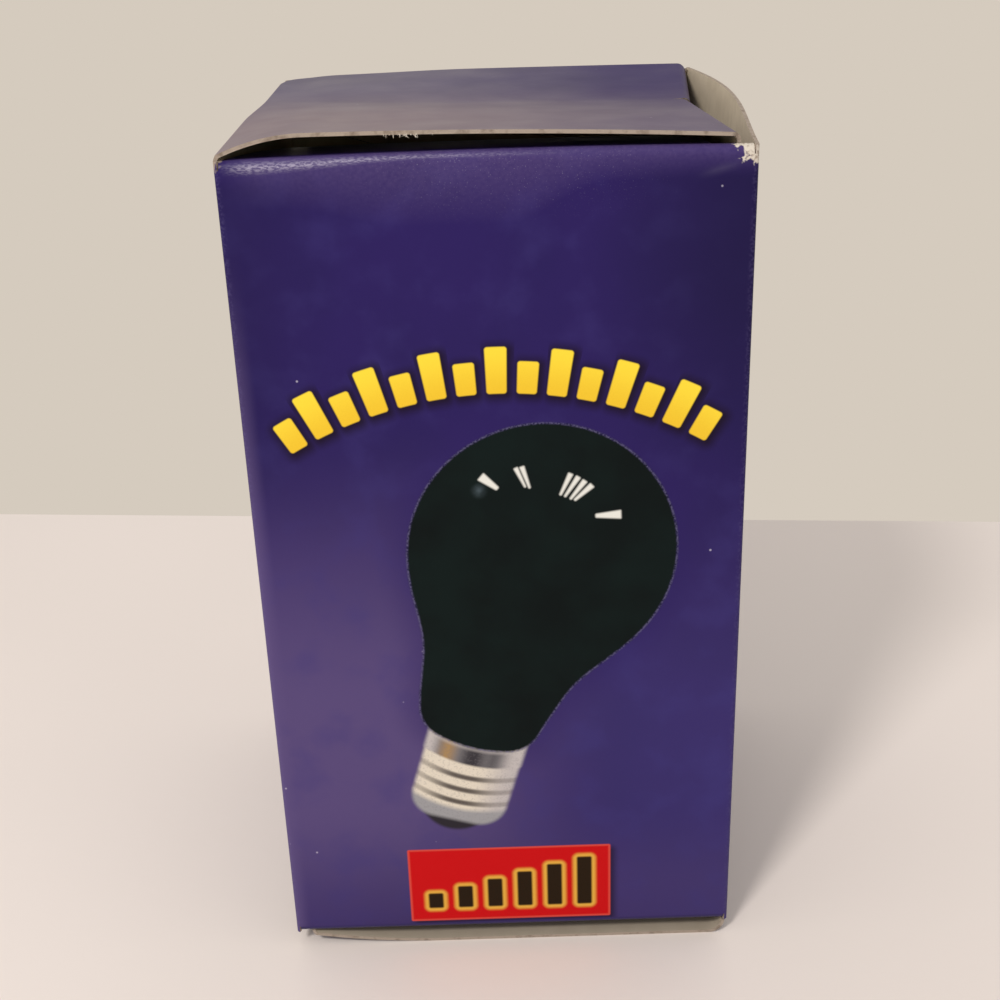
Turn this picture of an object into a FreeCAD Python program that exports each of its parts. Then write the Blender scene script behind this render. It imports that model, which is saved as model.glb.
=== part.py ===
import FreeCAD, Part
import math
import os

import Sketcher

# A printed folding carton for one light bulb, cut and folded from a single sheet of thin card.
# Its top lid is hinged on the left wall and tucks in behind the right wall. Its bottom lid is the other way
# round. The closed carton has been used: the lids are bowed, the top one is creased across and torn at the end
# of that crease, and the right wall's free top edge is bowed outwards.
# Frame: +Z up, the printed front wall faces -Y, +X is on the right, and the origin lies on the floor under the
# middle of the four walls.

# Driving dimensions, in millimetres and degrees.
SIZES = {
    # The sheet and the four walls, measured outside.
    "board": 0.45,
    "wall_width": 61.5,
    "wall_depth": 61.5,
    "wall_height": 109.5,
    "corner_radius": 0.6,
    # The right wall's bow: at its top edge, in the straight lower part, how far down it fades out, and where it
    # stands out most, measured from the front fold.
    "side_bow": 2.5,
    "side_slack": 0.15,
    "bow_height": 72.0,
    "bow_place": 35.5,
    # The seam at the back left corner and the glue flap behind it.
    "seam_gap": 0.3,
    "glue_width": 13.0,
    "glue_taper": 4.0,
    "glue_end_gap": 6.0,
    # Dust flaps on the front and back walls, folded in at both ends.
    "fold_radius": 1.0,
    "fold_slit": 0.5,
    "dust_length": 24.0,
    "dust_slope": 8.0,
    "dust_taper": 5.0,
    "dust_gap": 0.5,
    # Both lids: the gap at the hinged fold, the lid's margin inside the walls' faces, and the tuck flap.
    "hinge_gap": 0.25,
    "hinge_inset": 0.35,
    "lid_margin": 0.3,
    "tuck_length": 14.0,
    "tuck_radius": 1.2,
    "tuck_corner": 6.0,
    "tuck_lean": 0.8,
    "tuck_gap": 1.45,
    "tuck_side_gap": 0.8,
    # The top lid's bow: from its hinged end up to the crown and down again to the tuck fold, at the front edge and
    # at the back edge. Along the crease it is straight, and sinks.
    "crown_place": 10.0,
    "front_rise": 2.15,
    "front_drop": 1.4,
    "back_rise": 0.2,
    "back_drop": 0.25,
    "crease_sag": 0.15,
    "crease_drop": 0.6,
    # Where the crease lies, how far it pulls the tuck fold in, how far the fold stands out at the back, and the tear.
    "crease_place": 32.7,
    "crease_pull": 1.7,
    "back_push": 1.2,
    "tear_depth": 1.0,
    "tear_width": 4.0,
    "hinge_corner": 5.0,
    "tuck_side_corner": 1.5,
    # The bottom lid: its rounded fold, its flat rest on the floor, and its rise towards the tuck flap.
    "foot_radius": 2.25,
    "foot_flat": 38.0,
    "foot_rise": 1.6,
}

# Places worked out from the driving dimensions, as expressions.
HALF_WIDTH = "(Sizes.wall_width / 2)"
HALF_DEPTH = "(Sizes.wall_depth / 2)"
INNER_X = f"({HALF_WIDTH} - Sizes.board)"
INNER_Y = f"({HALF_DEPTH} - Sizes.board)"
FOLD_X = f"({HALF_WIDTH} - Sizes.corner_radius)"
WALL_FOOT = "(Sizes.foot_radius + Sizes.hinge_gap)"
WALL_TOP = f"({WALL_FOOT} + Sizes.wall_height)"
LID_HALF = f"({HALF_DEPTH} - Sizes.lid_margin)"
LID_START = f"({HALF_WIDTH} - Sizes.hinge_inset)"
TUCK_HALF = f"({INNER_Y} - Sizes.tuck_side_gap)"
TUCK_FACE = f"({INNER_X} - Sizes.tuck_gap)"
FLAP_HALF = f"({FOLD_X} - Sizes.fold_slit)"
CREASE_Y = f"(Sizes.crease_place - {LID_HALF})"
LID_LEVEL = f"({WALL_TOP} + Sizes.hinge_gap + Sizes.board)"
BACK_FACE = f"({TUCK_FACE} + Sizes.back_push)"

# How far a cut runs past the card that it trims.
CUT_MARGIN = 1.0

doc = FreeCAD.newDocument("bulb_carton")


def make_sheet():
    """The spreadsheet of driving dimensions, one named cell each."""
    sheet = doc.addObject("Spreadsheet::Sheet", "Sizes")
    for row, (alias, size) in enumerate(SIZES.items(), start=1):
        sheet.set(f"A{row}", alias)
        sheet.set(f"B{row}", str(size))
        sheet.setAlias(f"B{row}", alias)
    doc.recompute()
    return sheet


def make_body(label):
    body = doc.addObject("PartDesign::Body", label)
    body.Label = label
    return body


def make_sketch(body, name, plane, offset):
    """An empty sketch on one of the body's origin planes, moved along the plane's normal by an expression."""
    sketch = body.newObject("Sketcher::SketchObject", name)
    support = [feature for feature in body.Origin.OriginFeatures if feature.Role == plane][0]
    sketch.AttachmentSupport = [(support, "")]
    sketch.MapMode = "FlatFace"
    sketch.setExpression("AttachmentOffset.Base.z", offset)
    return sketch


def arc_between(start, end, radius, turn):
    """The short arc from start to end: turn is 1 for counter-clockwise and -1 for clockwise."""
    chord = end - start
    middle = (start + end) / 2
    side = FreeCAD.Vector(-chord.y, chord.x, 0).normalize()
    reach = math.sqrt(max(radius**2 - (chord.Length / 2) ** 2, 0.0))
    centre = middle + side * (reach * turn)
    first, last = (start, end) if turn > 0 else (end, start)
    angles = [math.atan2(p.y - centre.y, p.x - centre.x) for p in (first, last)]
    circle = Part.Circle(centre, FreeCAD.Vector(0, 0, 1), radius)
    return Part.ArcOfCircle(circle, angles[0], angles[1])


def draw_outline(sketch, corners):
    """Adds a closed outline. A corner is (u, v) before a straight edge, or (u, v, radius, turn) before an arc.
    u, v and radius are expressions, and stay bound to the sheet."""

    def number(expression):
        return float(sketch.evalExpression(expression))

    points = [FreeCAD.Vector(number(corner[0]), number(corner[1]), 0) for corner in corners]
    count = len(corners)
    base = sketch.GeometryCount
    heads, tails, edges = [], [], []
    for i, corner in enumerate(corners):
        start, end = points[i], points[(i + 1) % count]
        if len(corner) == 2:
            edges.append(Part.LineSegment(start, end))
            turn = 1
        else:
            turn = corner[3]
            edges.append(arc_between(start, end, number(corner[2]), turn))
        heads.append(1 if turn > 0 else 2)
        tails.append(2 if turn > 0 else 1)
    sketch.addGeometry(edges, False)
    for i in range(count):
        following = (i + 1) % count
        sketch.addConstraint(
            Sketcher.Constraint("Coincident", base + i, tails[i], base + following, heads[following])
        )
    for i, corner in enumerate(corners):
        bind(sketch, Sketcher.Constraint("DistanceX", -1, 1, base + i, heads[i], points[i].x), corner[0])
        bind(sketch, Sketcher.Constraint("DistanceY", -1, 1, base + i, heads[i], points[i].y), corner[1])
        if len(corner) > 2:
            bind(sketch, Sketcher.Constraint("Radius", base + i, number(corner[2])), corner[2])


def bind(sketch, constraint, expression):
    index = sketch.addConstraint(constraint)
    sketch.setExpression(f"Constraints[{index}]", expression)


def add_loft(body, kind, name, sections, ruled):
    loft = body.newObject(f"PartDesign::{kind}", name)
    loft.Profile = sections[0]
    loft.Sections = sections[1:]
    loft.Ruled = ruled
    return loft


def add_pad(body, name, sketch, length, symmetric=False):
    pad = body.newObject("PartDesign::Pad", name)
    pad.Profile = sketch
    pad.Midplane = symmetric
    pad.setExpression("Length", length)
    return pad


def cut_pocket(body, name, sketch, length, symmetric=False, reversed_way=False):
    """A pocket that has to take card away."""
    doc.recompute()
    before = body.Shape.Volume
    pocket = body.newObject("PartDesign::Pocket", name)
    pocket.Profile = sketch
    pocket.Midplane = symmetric
    pocket.Reversed = reversed_way
    pocket.setExpression("Length", length)
    doc.recompute()
    if not body.Shape.Volume < before:
        raise RuntimeError(f"{name} cuts nothing")
    return pocket


def arch_radius(run, rise):
    """The radius of an arc that starts level and gains a rise over a run."""
    return f"(({run} ^ 2 + {rise} ^ 2) / (2 * {rise}))"


def sleeve_section(body, name, height, bow, inset):
    """The four walls' outline at one height. The right side is two arcs that bow outwards and meet at its peak."""
    sketch = make_sketch(body, name, "XY_Plane", height)
    x = f"({HALF_WIDTH} - {inset})"
    y = f"({HALF_DEPTH} - {inset})"
    fold_y = f"({HALF_DEPTH} - Sizes.corner_radius)"
    corner = f"(Sizes.corner_radius - {inset})"
    peak = f"(Sizes.bow_place - {fold_y})"
    draw_outline(
        sketch,
        [
            (f"-{FOLD_X}", f"-{y}"),
            (FOLD_X, f"-{y}", corner, 1),
            (x, f"-{fold_y}", arch_radius("Sizes.bow_place", bow), 1),
            (f"({x} + {bow})", peak, arch_radius(f"({fold_y} - {peak})", bow), 1),
            (x, fold_y, corner, 1),
            (FOLD_X, y),
            (f"-{FOLD_X}", y, corner, 1),
            (f"-{x}", fold_y),
            (f"-{x}", f"-{fold_y}", corner, 1),
        ],
    )
    return sketch


def add_sleeve(body):
    """The four walls: one loft for their outside and one for their inside."""
    levels = [(WALL_FOOT, "Sizes.side_slack")]
    for share in (0, 0.5, 1):
        height = f"({WALL_TOP} - Sizes.bow_height * {1 - share})"
        levels.append((height, f"(Sizes.side_slack + Sizes.side_bow * {share**2})"))
    for kind, side, inset in (("AdditiveLoft", "outside", "0"), ("SubtractiveLoft", "inside", "Sizes.board")):
        sections = [
            sleeve_section(body, f"walls_{side}_{i}", height, bow, inset)
            for i, (height, bow) in enumerate(levels)
        ]
        add_loft(body, kind, f"walls_{side}", sections, ruled=True)


def cut_seam(body):
    """The gap where the back wall's raw edge meets the left corner."""
    sketch = make_sketch(body, "seam_outline", "XY_Plane", WALL_TOP)
    left = f"-{FOLD_X}"
    right = f"({left} + Sizes.seam_gap)"
    outside = f"({HALF_DEPTH} + {CUT_MARGIN})"
    draw_outline(sketch, [(left, INNER_Y), (right, INNER_Y), (right, outside), (left, outside)])
    cut_pocket(body, "seam", sketch, "Sizes.wall_height")


def add_glue_flap(body):
    """The strip of card behind the seam, glued to the inside of the back wall."""
    sketch = make_sketch(body, "glue_flap_outline", "XZ_Plane", f"-{INNER_Y}")
    root = f"-{INNER_X}"
    edge = f"({root} + Sizes.glue_width)"
    low = f"({WALL_FOOT} + Sizes.glue_end_gap)"
    high = f"({WALL_TOP} - Sizes.glue_end_gap)"
    draw_outline(
        sketch,
        [(root, low), (edge, f"{low} + Sizes.glue_taper"), (edge, f"{high} - Sizes.glue_taper"), (root, high)],
    )
    add_pad(body, "glue_flap", sketch, "Sizes.board")


def cut_fold_bands(body, end, height, way):
    """Takes the square top or bottom edge off the front and back walls, where the dust flaps' folds go."""
    sketch = make_sketch(body, f"{end}_bands_outline", "XY_Plane", height)
    inside = f"({INNER_Y} - Sizes.board)"
    outside = f"({HALF_DEPTH} + {CUT_MARGIN})"
    for near, far in ((f"-{outside}", f"-{inside}"), (inside, outside)):
        draw_outline(sketch, [(f"-{FOLD_X}", near), (FOLD_X, near), (FOLD_X, far), (f"-{FOLD_X}", far)])
    cut_pocket(body, f"{end}_bands", sketch, "Sizes.fold_radius", reversed_way=way < 0)


def add_dust_flap(body, name, height, way, facing):
    """A flap folded in from the front (facing -1) or back wall, at the top (way 1) or bottom of the walls."""
    fold_y = f"({facing} * ({HALF_DEPTH} - Sizes.fold_radius))"
    fold_z = f"({height} - {way} * Sizes.fold_radius)"
    rise = f"({way} * cos(Sizes.dust_slope))"
    lean = f"({-facing} * sin(Sizes.dust_slope))"
    run_y = f"({-facing} * Sizes.dust_length * cos(Sizes.dust_slope))"
    run_z = f"({-way} * Sizes.dust_length * sin(Sizes.dust_slope))"
    inner = "(Sizes.fold_radius - Sizes.board)"
    turn = facing * way

    def on_fold(radius):
        return f"{fold_y} + {radius} * {lean}", f"{fold_z} + {radius} * {rise}"

    def at_end(radius):
        return f"{fold_y} + {radius} * {lean} + {run_y}", f"{fold_z} + {radius} * {rise} + {run_z}"

    profile = make_sketch(body, f"{name}_profile", "YZ_Plane", "0")
    draw_outline(
        profile,
        [
            (f"{facing} * {HALF_DEPTH}", fold_z, "Sizes.fold_radius", turn),
            on_fold("Sizes.fold_radius"),
            at_end("Sizes.fold_radius"),
            at_end(inner),
            (*on_fold(inner), inner, -turn),
            (f"{facing} * {INNER_Y}", fold_z),
        ],
    )
    add_pad(body, name, profile, f"2 * {FLAP_HALF}", symmetric=True)
    trim_dust_flap(body, name, height, way, facing)


def trim_dust_flap(body, name, height, way, facing):
    """Tapers the flap's free end, and cuts it back on the side where the lid's tuck flap goes down."""
    root = f"({facing} * ({TUCK_HALF} + Sizes.dust_gap))"
    middle = f"({facing} * ({HALF_DEPTH} - Sizes.dust_length / 2))"
    end = f"({facing} * ({HALF_DEPTH} - Sizes.fold_radius - Sizes.dust_length - {CUT_MARGIN}))"
    tuck = f"({TUCK_FACE} - Sizes.crease_pull - Sizes.tuck_lean - Sizes.board - Sizes.dust_gap)"
    wall = f"({FLAP_HALF} + Sizes.fold_slit)"
    outline = make_sketch(body, f"{name}_trim", "XY_Plane", height)
    tuck_side = [
        (tuck, root),
        (wall, root),
        (wall, end),
        (f"({tuck} - Sizes.dust_taper)", end),
        (tuck, middle),
    ]
    hinge_side = [(FLAP_HALF, root), (wall, root), (wall, end), (f"({FLAP_HALF} - Sizes.dust_taper)", end)]
    draw_outline(outline, [(f"{way} * {u}", v) for u, v in tuck_side])
    draw_outline(outline, [(f"{-way} * {u}", v) for u, v in hinge_side])
    depth = f"2 * (Sizes.dust_length * sin(Sizes.dust_slope) + Sizes.fold_radius + {CUT_MARGIN})"
    cut_pocket(body, f"{name}_shape", outline, depth, symmetric=True)


def make_carton_body():
    """The folded sheet without its lids: walls, seam, glue flap and dust flaps."""
    body = make_body("carton_body")
    add_sleeve(body)
    cut_seam(body)
    add_glue_flap(body)
    for end, height, way in (("top", WALL_TOP, 1), ("bottom", WALL_FOOT, -1)):
        cut_fold_bands(body, end, height, way)
        for side, facing in (("front", -1), ("back", 1)):
            add_dust_flap(body, f"{end}_{side}_dust_flap", height, way, facing)
    return body


def top_lid_section(body, name, place, levels, face, tip, bowed):
    """The top lid's section at one place along Y: from the hinge, over the crown and down to the tuck flap's tip.
    levels are the heights of the crown and of the tuck fold. A bowed section has arcs, and a creased one is straight."""
    sketch = make_sketch(body, name, "XZ_Plane", f"-{place}")
    crown_z, fold_z = levels
    fold = f"({face} - Sizes.tuck_radius)"
    crown = f"(Sizes.crown_place - {LID_START})"
    inner = "(Sizes.tuck_radius - Sizes.board)"
    tip_z = f"({LID_LEVEL} - Sizes.tuck_length)"
    first = arch_radius("Sizes.crown_place", f"({crown_z} - {LID_LEVEL})")
    second = arch_radius(f"({fold} - {crown})", f"({crown_z} - {fold_z})")

    def bend(radius, turn):
        return (radius, turn) if bowed else ()

    draw_outline(
        sketch,
        [
            (f"-{LID_START}", LID_LEVEL, *bend(first, -1)),
            (crown, crown_z, *bend(second, -1)),
            (fold, fold_z, "Sizes.tuck_radius", -1),
            (face, f"{fold_z} - Sizes.tuck_radius"),
            (tip, tip_z),
            (f"{tip} - Sizes.board", tip_z),
            (f"{face} - Sizes.board", f"{fold_z} - Sizes.tuck_radius", inner, 1),
            (fold, f"{fold_z} - Sizes.board", *bend(second, 1)),
            (crown, f"{crown_z} - Sizes.board", *bend(first, 1)),
            (f"-{LID_START}", f"{LID_LEVEL} - Sizes.board"),
        ],
    )
    return sketch


def trim_tuck_flap(body, root_z, tip_z, way):
    """Makes the tuck flap narrower than the lid and rounds its free corners. way is 1 on the top lid."""
    sketch = make_sketch(body, "tuck_trim", "YZ_Plane", f"{way} * {HALF_WIDTH}")
    beyond = f"({tip_z} - {way} * {CUT_MARGIN})"
    shoulder = f"({tip_z} + {way} * Sizes.tuck_corner)"
    outside = f"({HALF_DEPTH} + {CUT_MARGIN})"
    round_end = f"({TUCK_HALF} - Sizes.tuck_corner)"
    for side in (-1, 1):
        draw_outline(
            sketch,
            [
                (f"{side} * {TUCK_HALF}", root_z),
                (f"{side} * {outside}", root_z),
                (f"{side} * {outside}", beyond),
                (f"{side} * {round_end}", beyond),
                (f"{side} * {round_end}", tip_z, "Sizes.tuck_corner", side * way),
                (f"{side} * {TUCK_HALF}", shoulder),
            ],
        )
    depth = f"({HALF_WIDTH} - {TUCK_FACE} + Sizes.crease_pull + Sizes.tuck_radius + {CUT_MARGIN})"
    cut_pocket(body, "tuck_shape", sketch, depth, reversed_way=way < 0)


def trim_back_corners(body):
    """Rounds the top lid's back corners."""
    sketch = make_sketch(body, "back_corners", "XY_Plane", LID_LEVEL)
    back = f"({LID_HALF} + {CUT_MARGIN})"
    for side, edge, radius in ((-1, LID_START, "Sizes.hinge_corner"), (1, BACK_FACE, "Sizes.tuck_side_corner")):
        outside = f"({edge} + {CUT_MARGIN})"
        round_y = f"({LID_HALF} - {radius})"
        draw_outline(
            sketch,
            [
                (f"{side} * {edge}", round_y, radius, side),
                (f"{side} * ({edge} - {radius})", LID_HALF),
                (f"{side} * ({edge} - {radius})", back),
                (f"{side} * {outside}", back),
                (f"{side} * {outside}", round_y),
            ],
        )
    depth = f"2 * (Sizes.back_rise + Sizes.back_drop + Sizes.board + {CUT_MARGIN})"
    cut_pocket(body, "round_back_corners", sketch, depth, symmetric=True)


def tear_fold(body):
    """The tear in the tuck fold, at the right end of the crease."""
    sketch = make_sketch(body, "tear_outline", "XY_Plane", LID_LEVEL)
    tip = f"({TUCK_FACE} - Sizes.crease_pull - Sizes.tear_depth)"
    outside = f"({TUCK_FACE} + {CUT_MARGIN})"
    draw_outline(
        sketch,
        [
            (tip, CREASE_Y),
            (outside, f"{CREASE_Y} - Sizes.tear_width"),
            (outside, f"{CREASE_Y} + Sizes.tear_width"),
        ],
    )
    cut_pocket(body, "tear", sketch, "(Sizes.crease_drop + Sizes.tuck_radius)")


def make_top_lid():
    """The bowed and creased top lid, with its tuck flap behind the right wall."""
    body = make_body("top_lid")
    tip = f"({TUCK_FACE} - Sizes.tuck_lean)"
    front_crown = f"({LID_LEVEL} + Sizes.front_rise)"
    front = (front_crown, f"({front_crown} - Sizes.front_drop)")
    crease = (f"({LID_LEVEL} - Sizes.crease_sag)", f"({LID_LEVEL} - Sizes.crease_drop)")
    back_crown = f"({LID_LEVEL} + Sizes.back_rise)"
    back = (back_crown, f"({back_crown} - Sizes.back_drop)")
    crease_face = f"({TUCK_FACE} - Sizes.crease_pull)"
    crease_tip = f"({tip} - Sizes.crease_pull)"
    sections = [
        top_lid_section(body, "front_section", f"(-{LID_HALF})", front, TUCK_FACE, tip, bowed=True),
        top_lid_section(body, "crease_section", CREASE_Y, crease, crease_face, crease_tip, bowed=False),
        top_lid_section(body, "back_section", LID_HALF, back, BACK_FACE, tip, bowed=True),
    ]
    add_loft(body, "AdditiveLoft", "bowed_lid", sections, ruled=True)
    trim_tuck_flap(body, f"({WALL_TOP} + Sizes.hinge_gap)", f"({LID_LEVEL} - Sizes.tuck_length)", 1)
    trim_back_corners(body)
    tear_fold(body)
    return body


def make_bottom_lid():
    """The bottom lid: a rounded fold at the right wall, a flat rest on the floor, and its tuck on the left."""
    body = make_body("bottom_lid")
    sketch = make_sketch(body, "lid_profile", "XZ_Plane", "0")
    fold = f"({LID_START} - Sizes.foot_radius)"
    flat_end = f"({fold} - Sizes.foot_flat)"
    face = f"(-{TUCK_FACE})"
    tuck_fold = f"({face} + Sizes.tuck_radius)"
    tuck_z = "(Sizes.foot_rise + Sizes.tuck_radius)"
    tip_z = "(Sizes.foot_rise + Sizes.tuck_length)"
    tip = f"({face} + Sizes.tuck_lean)"
    sweep = arch_radius(f"({flat_end} - {tuck_fold})", "Sizes.foot_rise")
    foot_inner = "(Sizes.foot_radius - Sizes.board)"
    tuck_inner = "(Sizes.tuck_radius - Sizes.board)"
    draw_outline(
        sketch,
        [
            (LID_START, "Sizes.foot_radius", "Sizes.foot_radius", -1),
            (fold, "0"),
            (flat_end, "0", sweep, -1),
            (tuck_fold, "Sizes.foot_rise", "Sizes.tuck_radius", -1),
            (face, tuck_z),
            (tip, tip_z),
            (f"{tip} + Sizes.board", tip_z),
            (f"{face} + Sizes.board", tuck_z, tuck_inner, 1),
            (tuck_fold, "Sizes.foot_rise + Sizes.board", sweep, 1),
            (flat_end, "Sizes.board"),
            (fold, "Sizes.board", foot_inner, 1),
            (f"({LID_START} - Sizes.board)", "Sizes.foot_radius"),
        ],
    )
    add_pad(body, "bowed_lid", sketch, f"2 * {LID_HALF}", symmetric=True)
    trim_tuck_flap(body, f"({WALL_FOOT} - Sizes.hinge_gap)", tip_z, -1)
    return body


def check_document(bodies):
    """Stops if any object failed or a sub-part isn't one sound solid."""
    doc.recompute()
    for item in doc.Objects:
        if "Invalid" in item.State or "Error" in item.State:
            raise RuntimeError(f"{item.Label} failed: {item.State}")
    for body in bodies:
        shape = body.Shape
        if shape.isNull() or not shape.isValid() or len(shape.Solids) != 1:
            raise RuntimeError(f"{body.Label} is not one sound solid")


def main():
    make_sheet()
    bodies = [make_carton_body(), make_top_lid(), make_bottom_lid()]
    check_document(bodies)
    os.makedirs("parts", exist_ok=True)
    for body in bodies:
        body.Shape.exportStep(f"parts/{body.Label}.step")
        print(body.Label, "volume", round(body.Shape.Volume, 1), "mm3")


main()
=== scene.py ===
import math
import random

import bmesh
import bpy
from mathutils import Matrix, Vector, noise


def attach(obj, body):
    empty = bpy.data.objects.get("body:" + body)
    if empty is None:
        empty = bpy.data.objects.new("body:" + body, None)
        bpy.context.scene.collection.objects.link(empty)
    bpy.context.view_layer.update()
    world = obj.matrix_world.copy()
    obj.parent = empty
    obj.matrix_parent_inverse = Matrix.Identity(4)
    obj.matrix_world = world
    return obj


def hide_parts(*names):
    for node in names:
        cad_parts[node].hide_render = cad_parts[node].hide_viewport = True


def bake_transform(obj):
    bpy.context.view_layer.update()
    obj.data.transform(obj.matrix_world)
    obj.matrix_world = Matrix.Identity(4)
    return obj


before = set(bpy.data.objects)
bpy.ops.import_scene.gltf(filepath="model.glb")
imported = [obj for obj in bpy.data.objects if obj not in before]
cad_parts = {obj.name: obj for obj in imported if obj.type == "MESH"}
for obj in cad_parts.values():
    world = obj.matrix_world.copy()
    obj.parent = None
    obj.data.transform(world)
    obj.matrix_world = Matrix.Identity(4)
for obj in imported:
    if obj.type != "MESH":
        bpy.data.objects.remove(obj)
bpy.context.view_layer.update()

# Lengths below are in millimetres, in the frame of the CAD model.
MM = 0.001

# The sheet of card and the four walls.
BOARD = 0.45
HALF = 30.75
CORNER = 0.6
FOLD = HALF - CORNER
FOLD_RADIUS = 1.0
WALL_FOOT = 2.5
WALL_TOP = 112.0
SEAM_GAP = 0.3

# Bow, dents and sinks of the walls. A span is where a change starts and how far it runs.
SIDE_BOW = 2.5
SIDE_SLACK = 0.15
BOW_START = WALL_TOP - 72.0
BOW_PEAK_Y = 37.5 - FOLD
LEFT_DENT = 0.72
LEFT_DENT_SPAN = (-9.0, 17.0)
BACK_DENT_SPAN = (-16.0, -12.0)
FRONT_SINK = 0.16
FRONT_WAVE = 26.0
BACK_SINK = 0.2
LEFT_SINK = 0.25
SINK_EASE = 4.0

# The flaps folded in from the front and back walls.
FLAP_SIDES = ("front", "back")
FLAP_HALF = FOLD - 0.5
FLAP_LENGTH = 24.0
FLAP_TURN = math.radians(98.0)
FLAP_TAPER = 5.0
FLAP_TUCK_SIDE = 25.4
FLAP_TUCK_BEND = 11.0
FLAP_ARCH = 0.25
FOLD_BOW = 0.3

# The glue flap behind the seam.
GLUE_WIDTH = 13.0
GLUE_TAPER = 4.0
GLUE_END_GAP = 6.0

# Both lids.
LID_HALF = HALF - 0.3
LID_START = HALF - 0.35
HINGE_GAP = 0.25
HINGE_LAP = 0.02
HINGE_BULGE = 0.08
TUCK_FACE = HALF - BOARD - 1.45
TUCK_HALF = HALF - BOARD - 0.8
TUCK_LENGTH = 14.0
TUCK_RADIUS = 1.2
TUCK_CORNER = 6.0
TUCK_LEAN = 0.8

# The top lid's bow: heights over its hinged end, at the crown and at the tuck fold.
LID_LEVEL = WALL_TOP + HINGE_GAP + BOARD
CROWN_X = 10.0 - LID_START
FRONT_HEIGHTS = (2.15, 0.75)
CREASE_HEIGHTS = (-0.15, -0.6)
BACK_HEIGHTS = (0.2, -0.05)
BACK_PUSH = 1.2
HINGE_CORNER = 8.0
TUCK_SIDE_CORNER = 1.5
FRONT_NARROW = 2.0
BACK_NARROW = 6.0

# The top lid's crease, with the tear at its end, and the lid's waves and droop.
CREASE_Y = 32.7 - LID_HALF
CREASE_PULL = 1.7
CREASE_BEND = 4.2
CREASE_BEND_SPAN = (-2.0, -34.0)
CREASE_DIP = 0.9
CREASE_DIP_SPAN = (0.0, 26.0)
CREASE_WAVER = 0.25
CREASE_WAVER_SIZE = 7.0
TEAR_DEPTH = 1.5
TEAR_RUN = 2.8
TEAR_FRONT = 0.6
TEAR_BACK = 2.1
TEAR_RAGGED = 0.6
TEAR_GRAIN = 0.8
LID_WAVE = 0.14
LID_WAVE_SIZE = 15.0
LID_WAVE_HINGE = (-LID_START, 10.0)
LID_WAVE_RIM = (LID_HALF, -8.0)
LID_DENT_SPAN = (-14.0, -14.0)
LID_DROOP = 0.35
DROOP_LEFT = (-2.0, -22.0)
DROOP_HINGE = (-LID_START, 5.0)
DROOP_BACK = (10.0, 18.0)

# The bottom lid.
FOOT_RADIUS = 2.25
FOOT_FLAT_END = LID_START - FOOT_RADIUS - 38.0
FOOT_RISE = 1.6

# Steps of the meshes. The bottom lid's are for its hinge, flat, rise, tuck fold and tuck flap.
NEAR = 0.01
WELD = 1e-7
WALL_STEP = 1.5
CORNER_STEPS = 6
SIDE_END_STEPS = 2
FOLD_STEPS = 6
FLAP_STEPS = 12
FLAP_COLUMNS = 34
FLAP_SIDE_COLUMNS = 3
GLUE_ROWS = 40
GLUE_COLUMNS = 6
LID_STEPS = (("hinge", 18), ("crown", 36), ("fold", 7), ("tuck", 14))
LID_FRONT_COLUMNS = 30
LID_BACK_COLUMNS = 24
FOOT_STEPS = (10, 24, 14, 7, 12)
FOOT_COLUMNS = 44
HINGE_ROWS = 8
HINGE_COLUMNS = 60
RIBBON_STEPS = 5

# Places of the material slots on every piece of card.
PRINT, FRONT, INNER, EDGE = range(4)


def srgb(*levels):
    """A linear colour from 8-bit display values."""
    shares = [level / 255.0 for level in levels]
    return (*[s / 12.92 if s <= 0.04045 else ((s + 0.055) / 1.055) ** 2.4 for s in shares], 1.0)


def spread(start, end, count):
    """count + 1 numbers from start to end, evenly spaced."""
    return [start + (end - start) * i / count for i in range(count + 1)]


def part_way(start, end, share):
    """The point at a share of the way from start to end."""
    return [a + (b - a) * share for a, b in zip(start, end)]


def smooth(value):
    value = min(max(value, 0.0), 1.0)
    return value * value * (3.0 - 2.0 * value)


def ease(value, start, run):
    """A smooth change from 0 at start to 1 at the end of its run."""
    return smooth((value - start) / run)


def wave(x, y, z, size):
    """Smooth noise from about -1 to 1, with features of about the given size."""
    return noise.noise(Vector((x / size + 3.7, y / size - 1.3, z / size + 8.1)))


# Meshes of card.


def add_vert(bm, point):
    return bm.verts.new([value * MM for value in point])


def add_face(bm, corners, slot):
    face = bm.faces.new(corners)
    face.material_index = slot
    face.smooth = True


def quads(rows):
    """The column and the corners of every quad between rows of vertices."""
    for first, second in zip(rows, rows[1:]):
        for i in range(len(first) - 1):
            yield i, (first[i], first[i + 1], second[i + 1], second[i])


def add_rows(bm, rows, slot):
    for _, corners in quads(rows):
        add_face(bm, corners, slot)


def thicken(bm):
    """Gives the printed surface its board: an unprinted inner face and raw cut edges."""
    bm.normal_update()
    faces = list(bm.faces)
    rims = [edge for edge in bm.edges if edge.is_boundary]
    inner = {vert: bm.verts.new(vert.co - vert.normal * (BOARD * MM)) for vert in list(bm.verts)}
    for face in faces:
        add_face(bm, [inner[vert] for vert in reversed(face.verts)], INNER)
    for edge in rims:
        loop = edge.link_loops[0]
        start, end = loop.vert, loop.link_loop_next.vert
        rim = bm.faces.new((end, start, inner[start], inner[end]))
        rim.material_index = EDGE
        for side in rim.edges:
            side.smooth = False


def add_object(name, data):
    item = bpy.data.objects.new(name, data)
    bpy.context.scene.collection.objects.link(item)
    return item


def finish_piece(bm, name, materials):
    mesh = bpy.data.meshes.new(name)
    bm.to_mesh(mesh)
    bm.free()
    for material in materials:
        mesh.materials.append(material)
    return add_object(name, mesh)


# The four walls, with the glue flap and the dust flaps.


def wall_bow(z):
    return SIDE_SLACK + SIDE_BOW * max((z - BOW_START) / (WALL_TOP - BOW_START), 0.0) ** 2


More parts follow.
